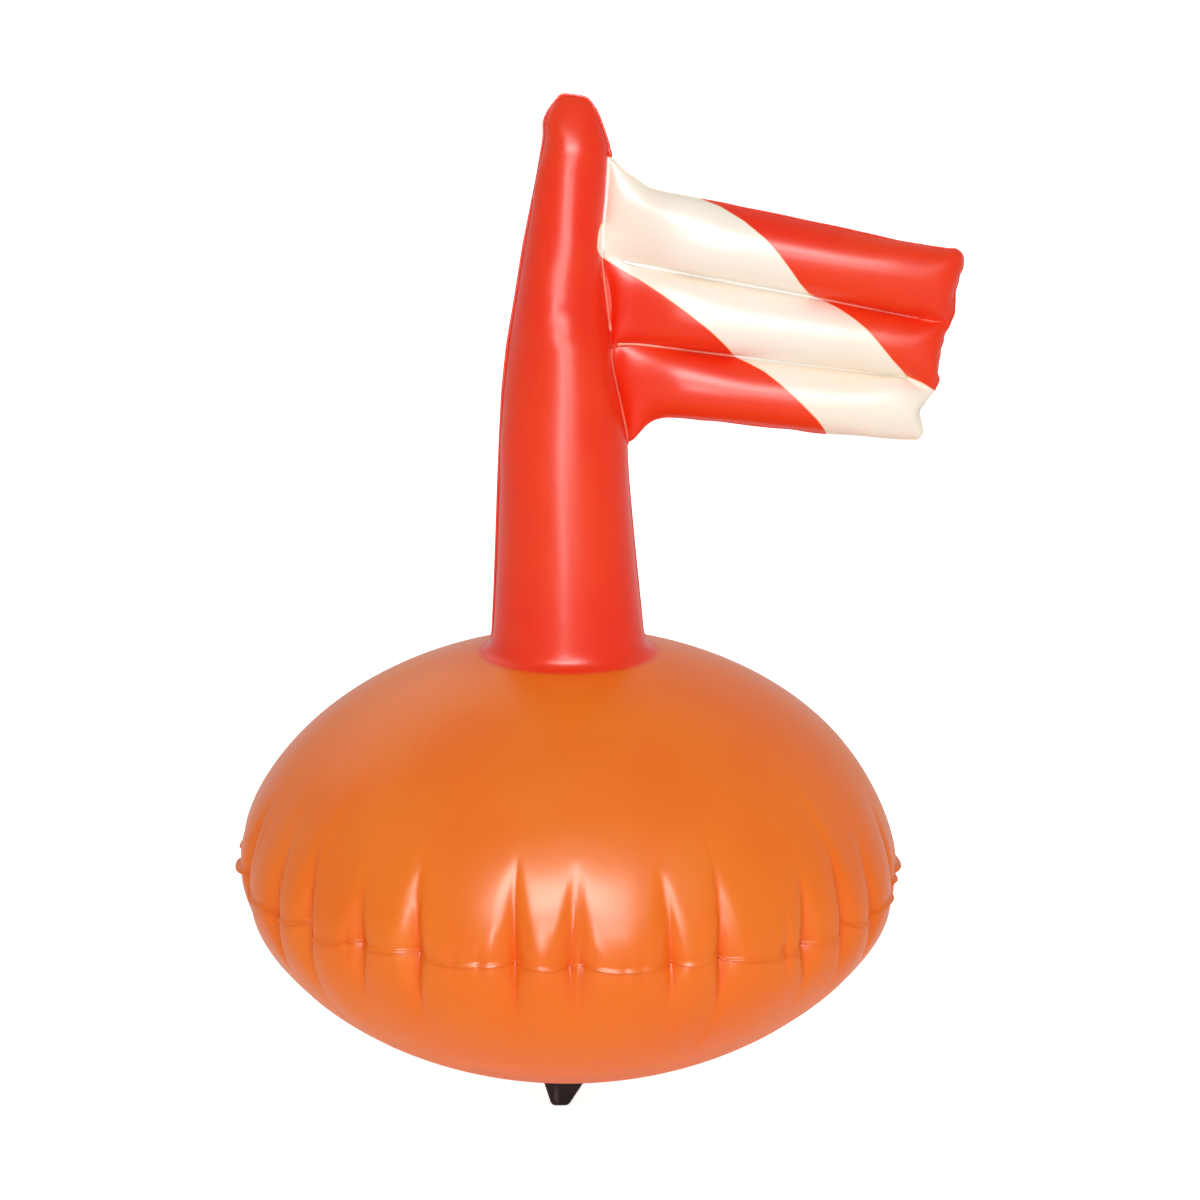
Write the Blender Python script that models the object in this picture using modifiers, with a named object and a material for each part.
"""Inflatable diver's signal buoy: a flattened round float welded from two discs,
an inflated mast with a three-channel flag, an inflation valve and a moulded lug
with an eye for the line.

Metres, +Z up, upright as it floats on its line. The origin is on the float's
axis at the middle of the lug's line eye. -Y is the front, and the flag flies to +X.
"""
import bpy
import bmesh
import math
import numpy as np
from mathutils import Matrix, Vector

# ------------------------------------------------------------ dimensions (m)
GAP = 0.0003            # clearance between touching pieces

SEAM_Z = 0.1460         # float's welded seam above the line eye
FLOAT_R = 0.1900        # inflated radius of the skin at the seam
FLOAT_UP = 0.1304       # seam to the top pole
FLOAT_DOWN = 0.1230     # seam to the bottom pole
FLOAT_POWER = 1.933     # 2 would be an ellipse; a little less is a little more pointed
RIM_OUT = 0.0038        # welded rim proud of the skin
RIM_T = 0.0016          # rim thickness, two sheets pressed together
PUCKERS = 34            # gathers round the seam
PUCKER_IN = 0.0042      # how far a crease lies inside the round
PUCKER_CROWN = 0.0009   # how far the pillow between two creases stands out
PUCKER_UP = 0.050       # reach of the creases above the seam
PUCKER_DOWN = 0.042     # and below it
STEPS = PUCKERS * 3     # crease, crown, crown

SKIN_LIP = 0.0009       # float skin over the mast's flange
MAST_R = 0.0446         # mast radius where it leaves the float
FLANGE_R = 0.0515       # mast's flange, welded under the float skin
FLANGE_T = 0.0010

# mast: height above the seam, centre offset in X, half width in X
MAST = ((0.1350, 0.0000, 0.0444), (0.1550, -0.0004, 0.0430), (0.1900, -0.0014, 0.0405),
        (0.2260, -0.0022, 0.0382), (0.2520, -0.0024, 0.0368), (0.2780, -0.0046, 0.0333),
        (0.3040, -0.0058, 0.0295), (0.3300, -0.0050, 0.0264), (0.3560, -0.0040, 0.0230),
        (0.3810, -0.0010, 0.0206), (0.4060, 0.0026, 0.0200), (0.4230, 0.0040, 0.0185))
TIP_Z = 0.4464          # top of the mast above the seam
TIP_X = 0.0020

# flag outline and its two channel welds: X and height above the seam
TOP_EDGE = ((0.014, 0.4100), (0.0246, 0.4085), (0.0325, 0.4020), (0.0465, 0.3925),
            (0.0785, 0.3855), (0.1310, 0.3764), (0.1900, 0.3640), (0.2230, 0.3575))
WELD_1 = ((0.014, 0.3560), (0.0300, 0.3515), (0.1410, 0.3310), (0.2020, 0.3184), (0.2190, 0.3165))
WELD_2 = ((0.014, 0.3085), (0.0310, 0.3058), (0.0940, 0.2977), (0.1915, 0.2856), (0.2100, 0.2835))
LOW_EDGE = ((0.026, 0.2330), (0.0367, 0.2462), (0.0441, 0.2578), (0.0526, 0.2622),
            (0.0700, 0.2619), (0.1150, 0.2567), (0.1475, 0.2532), (0.2012, 0.2491))
FREE_END = (0.2225, 0.2165, 0.2095, 0.2010)     # X of the four lines' free ends
MAST_END = (0.0190, 0.0150, 0.0190, 0.0300)     # X where they start, inside the mast's wall
FLAG_FULL = 0.84        # channel thickness over its height
FLAG_RIM = 0.0008       # half thickness of a weld

VALVE_R = 0.1200        # valve's distance from the float's axis, behind the mast
VALVE_FLANGE_R = 0.0170
VALVE_FLANGE_T = 0.0010
VALVE_STEM_R = 0.0070
VALVE_CAP_R = 0.0092

LUG_FLANGE_R = 0.0250
LUG_FLANGE_T = 0.0016
LUG_END_Z = -0.0081     # flat end of the lug
LUG_TOP = (0.0370, 0.0320)      # lug section under its flange, X by Y
LUG_END = (0.0102, 0.0190)      # lug section at its end
LUG_SKEW = (-0.0008, -0.0054)   # the soft lug leans: its middle in X at the flange and at its end
EYE_R = 0.0040          # line eye, along X


# ------------------------------------------------------------------ helpers
def collection(name, hidden=False):
    col = bpy.data.collections.new(name)
    bpy.context.scene.collection.children.link(col)
    col.hide_render = hidden
    return col


def material(name, colour, roughness):
    mat = bpy.data.materials.new(name)
    mat.use_nodes = True
    shader = mat.node_tree.nodes["Principled BSDF"]
    shader.inputs["Base Color"].default_value = (*colour, 1.0)
    shader.inputs["Roughness"].default_value = roughness
    shader.inputs["Metallic"].default_value = 0.0
    return mat


def add_object(name, mesh, col, mat=None):
    ob = bpy.data.objects.new(name, mesh)
    col.objects.link(ob)
    if mat:
        mesh.materials.append(mat)
    return ob


def turned(name, profile, steps, col, mat=None):
    """A profile of (radius, height) points turned about Z, baked to a mesh."""
    line = bpy.data.meshes.new(name + "_profile")
    line.from_pydata([(r, 0.0, z) for r, z in profile],
                     [(i, i + 1) for i in range(len(profile) - 1)], [])
    ob = add_object(name, line, col)
    screw = ob.modifiers.new("Screw", "SCREW")
    screw.axis = "Z"
    screw.steps = steps
    screw.render_steps = steps
    screw.use_merge_vertices = True
    screw.merge_threshold = 0.00001
    bpy.context.view_layer.update()
    solid = bpy.data.meshes.new_from_object(ob.evaluated_get(bpy.context.evaluated_depsgraph_get()))
    solid.name = name
    ob.modifiers.clear()
    ob.data = solid
    bpy.data.meshes.remove(line)
    if mat:
        solid.materials.append(mat)
    return ob


def boolean(ob, other, operation):
    mod = ob.modifiers.new(operation.title(), "BOOLEAN")
    mod.operation = operation
    mod.solver = "EXACT"
    mod.object = other
    return mod


def as_cutter(ob):
    ob.hide_render = True
    ob.display_type = "WIRE"
    return ob


def smooth(ob, angle=40.0):
    ob.data.shade_smooth()
    ob.data.set_sharp_from_angle(angle=math.radians(angle))


def grid_box(cuts_x, cuts_z):
    """A unit cube whose front and back are divided into a grid."""
    bm = bmesh.new()
    bmesh.ops.create_cube(bm, size=1.0)
    for axis, cuts in ((0, cuts_x), (2, cuts_z)):
        along = [e for e in bm.edges
                 if abs((e.verts[0].co - e.verts[1].co)[axis]) > 1e-6
                 and (e.verts[0].co - e.verts[1].co).length - abs((e.verts[0].co - e.verts[1].co)[axis]) < 1e-6]
        bmesh.ops.subdivide_edges(bm, edges=along, cuts=cuts, use_grid_fill=True)
    return bm


def skin_z(r, side=1):
    """Height of the float's skin above the seam at radius r."""
    full = FLOAT_UP if side > 0 else FLOAT_DOWN
    return side * full * max(0.0, 1.0 - (r / FLOAT_R) ** FLOAT_POWER) ** (1.0 / FLOAT_POWER)


def skin_slope(r, side=1):
    return (skin_z(r + 0.0005, side) - skin_z(r - 0.0005, side)) / 0.001


# ------------------------------------------------------------------- pieces
def build_float(col, cutters, mat):
    inner = MAST_R + GAP                    # hole in the skin, round the mast
    pocket = FLANGE_R + GAP
    deep = SKIN_LIP + FLANGE_T + 2 * GAP    # pocket that takes the mast's flange
    profile = [(0.0, skin_z(inner) - deep), (inner, skin_z(inner) - deep),
               (pocket, skin_z(pocket) - deep), (pocket, skin_z(pocket) - SKIN_LIP),
               (inner, skin_z(inner) - SKIN_LIP), (inner, skin_z(inner))]
    first = math.asin(min(1.0, (inner / FLOAT_R) ** (FLOAT_POWER / 2)))
    for i in range(1, 12):                  # top skin, out to the seam
        t = first + (math.pi / 2 - first) * i / 11.5
        r = FLOAT_R * math.sin(t) ** (2 / FLOAT_POWER)
        profile.append((r, skin_z(r)))
    profile += [(FLOAT_R + 0.0003, RIM_T / 2), (FLOAT_R + RIM_OUT, RIM_T / 2),
                (FLOAT_R + RIM_OUT, -RIM_T / 2), (FLOAT_R + 0.0003, -RIM_T / 2)]
    seat = LUG_FLANGE_R + GAP
    last = math.asin((seat / FLOAT_R) ** (FLOAT_POWER / 2))
    for i in range(11):                     # bottom skin, in to the lug's flat seat
        t = math.pi / 2 - (math.pi / 2 - last) * (i + 0.5) / 10.5
        r = FLOAT_R * math.sin(t) ** (2 / FLOAT_POWER)
        profile.append((r, skin_z(r, -1)))
    profile.append((0.0, skin_z(seat, -1)))
    ob = turned("float_body", profile, STEPS, col, mat)

    for v in ob.data.vertices:              # gathers round the seam
        r, z = math.hypot(v.co.x, v.co.y), v.co.z
        reach = PUCKER_UP if z > 0 else PUCKER_DOWN
        fade = max(0.0, 1.0 - abs(z) / reach)
        if fade > 0.0 and r > FLOAT_R * 0.7:
            step = round(math.atan2(v.co.y, v.co.x) / (2 * math.pi) * STEPS) % 3
            move = -PUCKER_IN * fade if step == 0 else PUCKER_CROWN * fade * fade
            v.co.x *= (r + move) / r
            v.co.y *= (r + move) / r
    ob.location.z = SEAM_Z
    smooth(ob, 50.0)

    seat_cut = turned("valve_seat", [(0.0, 0.004), (VALVE_FLANGE_R + GAP, 0.004),
                                     (VALVE_FLANGE_R + GAP, -VALVE_FLANGE_T - GAP),
                                     (0.0, -VALVE_FLANGE_T - GAP)], 48, cutters)
    seat_cut.matrix_world = valve_place()
    boolean(ob, as_cutter(seat_cut), "DIFFERENCE")
    return ob


def valve_place():
    """The valve's own axis along the skin's normal, on the back of the float."""
    normal = Vector((0.0, -skin_slope(VALVE_R), 1.0)).normalized()
    spot = Vector((0.0, VALVE_R, SEAM_Z + skin_z(VALVE_R)))
    sink = VALVE_FLANGE_R ** 2 / (2 * 0.22)         # the flat flange cuts this far into the round
    turn = Vector((0.0, 0.0, 1.0)).rotation_difference(normal).to_matrix().to_4x4()
    return Matrix.Translation(spot - normal * sink) @ turn


def build_mast_and_flag(col, cutters, mat):
    under = SKIN_LIP + GAP
    foot = MAST_R
    profile = [(0.0, TIP_Z)]
    top_z, _, top_half = MAST[-1]
    for i in range(1, 6):                   # rounded tip
        t = math.pi / 2 * i / 6
        profile.append((top_half * math.sin(t), top_z + (TIP_Z - top_z) * math.cos(t)))
    for z, _, half in reversed(MAST):
        profile.append((half, z))
    profile += [(foot, skin_z(foot)), (foot, skin_z(foot) - under),
                (FLANGE_R, skin_z(FLANGE_R) - under),
                (FLANGE_R, skin_z(FLANGE_R) - under - FLANGE_T),
                (foot, skin_z(foot) - under - FLANGE_T),
                (0.0, skin_z(foot) - under - FLANGE_T)]
    ob = turned("mast_and_flag", profile, 56, col, mat)
    heights = [m[0] for m in MAST] + [TIP_Z]
    offsets = [m[1] for m in MAST] + [TIP_X]
    for v in ob.data.vertices:              # lean, and the flattened welded tip
        flat = min(1.0, max(0.0, (v.co.z - 0.385) / (TIP_Z - 0.385)))
        v.co.y *= 1.0 - 0.45 * flat * flat
        v.co.x += float(np.interp(v.co.z, heights, offsets)) if v.co.z > MAST[0][0] else 0.0
    ob.location.z = SEAM_Z
    smooth(ob, 50.0)

    lines = [TOP_EDGE, WELD_1, WELD_2, LOW_EDGE]
    bm = grid_box(15, 17)                   # three channels of six steps
    for v in bm.verts:
        u, down, side = v.co.x + 0.5, (0.5 - v.co.z) * 3.0, math.copysign(1.0, v.co.y)
        channel = min(2, int(down + 1e-6))
        w = down - channel
        share = (1.0 - math.cos(math.pi * w)) / 2.0
        x0 = float(np.interp(channel + share, range(4), MAST_END))
        x1 = float(np.interp(channel + share, range(4), FREE_END))
        x = x0 + (x1 - x0) * u
        upper, lower = (float(np.interp(x, *zip(*lines[k]))) for k in (channel, channel + 1))
        to_end, to_mast = (x1 - x) / 0.034, (x - x0) / 0.026
        ends = math.prod(math.sqrt(max(0.0, 1.0 - (1.0 - min(1.0, t)) ** 2)) for t in (to_end, to_mast))
        half = FLAG_RIM + (upper - lower) / 2 * FLAG_FULL * math.sin(math.pi * w) * ends
        if u < 1e-6:
            half = 0.0022 if 0.0 < w < 1.0 else 0.0014
        v.co = Vector((x, side * half, upper + (lower - upper) * share))
    flag_mesh = bpy.data.meshes.new("flag_channels")
    bmesh.ops.recalc_face_normals(bm, faces=bm.faces)
    bm.to_mesh(flag_mesh)
    bm.free()
    flag = add_object("flag_channels", flag_mesh, cutters)
    flag.location.z = SEAM_Z
    boolean(ob, as_cutter(flag), "UNION")
    return ob


def build_valve(col, cutters, mat):
    f, s, c = VALVE_FLANGE_R, VALVE_STEM_R, VALVE_CAP_R
    profile = [(0.0, 0.0128), (c - 0.0014, 0.0128), (c - 0.0004, 0.0124), (c, 0.0114),
               (c, 0.0104), (c - 0.0008, 0.0098), (s, 0.0096), (s, 0.0010),
               (f - 0.0008, 0.0004), (f, 0.0), (f, -VALVE_FLANGE_T), (0.0, -VALVE_FLANGE_T)]
    ob = turned("inflation_valve", profile, 48, col, mat)
    ob.matrix_world = valve_place()
    smooth(ob, 35.0)

    bm = grid_box(11, 0)                    # strap that keeps the plug on the valve
    reach, half_wide, thick = 0.0053, 0.0025, 0.0011
    for v in bm.verts:
        turn = math.pi * (v.co.x + 0.5)
        r = reach + v.co.z * thick
        wide = half_wide * 2.0 * v.co.y
        v.co = Vector((c - 0.0006 + r * math.sin(turn), wide, 0.0057 + r * math.cos(turn)))
    strap_mesh = bpy.data.meshes.new("plug_strap")
    bmesh.ops.recalc_face_normals(bm, faces=bm.faces)
    bm.to_mesh(strap_mesh)
    bm.free()
    strap = add_object("plug_strap", strap_mesh, cutters)
    strap.matrix_world = valve_place()
    boolean(ob, as_cutter(strap), "UNION")
    return ob


def build_lug(col, cutters, mat):
    seat = LUG_FLANGE_R + GAP
    face = SEAM_Z + skin_z(seat, -1) - GAP          # underside of the float, less the gap
    top = face - LUG_FLANGE_T * 0.5
    bm = bmesh.new()
    bmesh.ops.create_cube(bm, size=1.0)
    for v in bm.verts:
        sx, sy = (LUG_TOP if v.co.z > 0 else LUG_END)
        z = top if v.co.z > 0 else LUG_END_Z
        v.co = Vector((v.co.x * sx + LUG_SKEW[0 if v.co.z > 0 else 1], v.co.y * sy, z))
    mesh = bpy.data.meshes.new("line_lug")
    bm.to_mesh(mesh)
    bm.free()
    ob = add_object("line_lug", mesh, col, mat)
    bevel = ob.modifiers.new("Bevel", "BEVEL")
    bevel.width = 0.0026
    bevel.segments = 4
    bevel.limit_method = "ANGLE"
    bevel.angle_limit = math.radians(30.0)

    flange = turned("lug_flange", [(0.0, face), (LUG_FLANGE_R - 0.0002, face),
                                   (LUG_FLANGE_R, face - 0.0003),
                                   (LUG_FLANGE_R - 0.0003, face - LUG_FLANGE_T * 0.6),
                                   (LUG_FLANGE_R - 0.0022, face - LUG_FLANGE_T),
                                   (0.0, face - LUG_FLANGE_T)], 48, cutters)
    boolean(ob, as_cutter(flange), "UNION")

    bm = bmesh.new()
    bmesh.ops.create_cone(bm, cap_ends=True, segments=32, radius1=EYE_R, radius2=EYE_R, depth=0.08)
    bmesh.ops.rotate(bm, verts=bm.verts, cent=(0, 0, 0), matrix=Matrix.Rotation(math.pi / 2, 3, "Y"))
    eye_mesh = bpy.data.meshes.new("line_eye")
    bm.to_mesh(eye_mesh)
    bm.free()
    eye = add_object("line_eye", eye_mesh, cutters)
    boolean(ob, as_cutter(eye), "DIFFERENCE")
    smooth(ob, 40.0)
    return ob


def main():
    for ob in list(bpy.data.objects):
        bpy.data.objects.remove(ob, do_unlink=True)
    col = collection("dive_buoy")
    cutters = collection("cutters", hidden=True)
    orange = material("orange_vinyl", (0.84, 0.17, 0.025), 0.28)
    red = material("red_vinyl", (0.85, 0.055, 0.020), 0.28)
    clear = material("valve_vinyl", (0.80, 0.16, 0.03), 0.35)
    black = material("black_moulding", (0.020, 0.016, 0.016), 0.25)
    build_float(col, cutters, orange)
    build_mast_and_flag(col, cutters, red)
    build_valve(col, cutters, clear)
    build_lug(col, cutters, black)


main()
